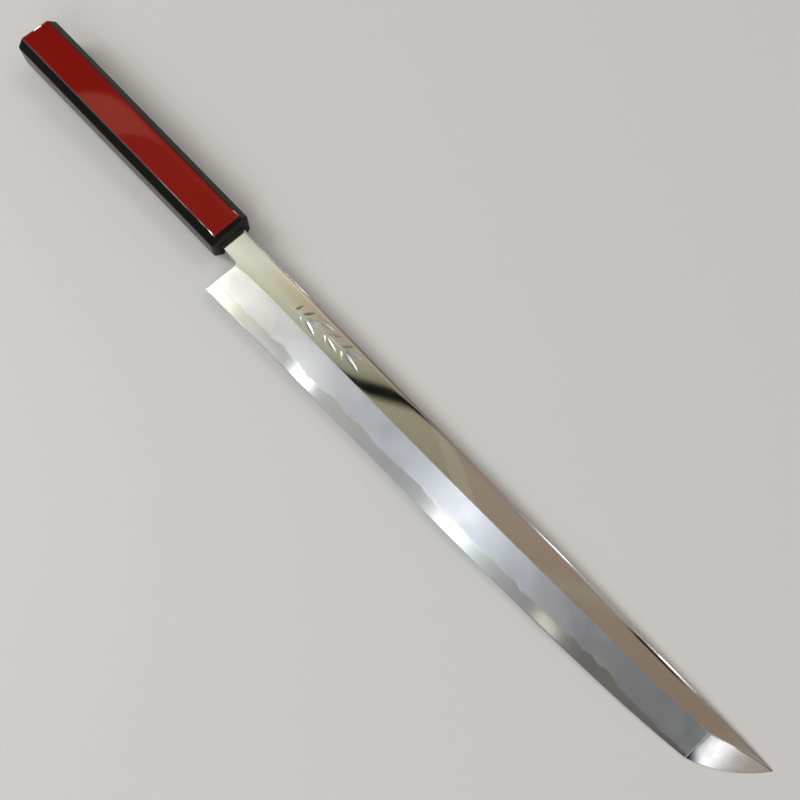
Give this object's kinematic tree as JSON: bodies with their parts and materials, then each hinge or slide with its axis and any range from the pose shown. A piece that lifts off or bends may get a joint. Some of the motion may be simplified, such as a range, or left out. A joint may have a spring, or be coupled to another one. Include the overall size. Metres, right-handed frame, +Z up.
{
  "type": "takohiki knife",
  "caption": "Long single-bevel slicing knife with a sword-like tip, laminated blade, hollow-ground back and lacquered octagonal handle with red side faces.",
  "frame": {"origin": "middle of the bounding box's floor, on the table the knife lies on", "axes": "+X from the handle to the tip, +Y from the edge to the spine, +Z up from the table; the knife lies on its back face, on its tip and the handle's front edge"},
  "size_m": [0.4968, 0.0384, 0.0224],
  "materials": {
    "soft_iron": "mirror-polished flat above a misty bevel",
    "hard_steel": "fine stone polish",
    "ho_wood": "plain, under lacquer",
    "black_lacquer": "polished gloss lacquer",
    "red_lacquer": "polished gloss lacquer",
    "resin": "matt"
  },
  "bodies": {
    "root": {"jigane_soft_iron": "soft_iron", "hagane_hard_steel": "hard_steel", "handle_core_wood": "ho_wood", "handle_black_lacquer": "black_lacquer", "handle_red_lacquer_omote": "red_lacquer", "handle_red_lacquer_ura": "red_lacquer", "tang_seal_resin": "resin"}
  },
  "joints": []
}
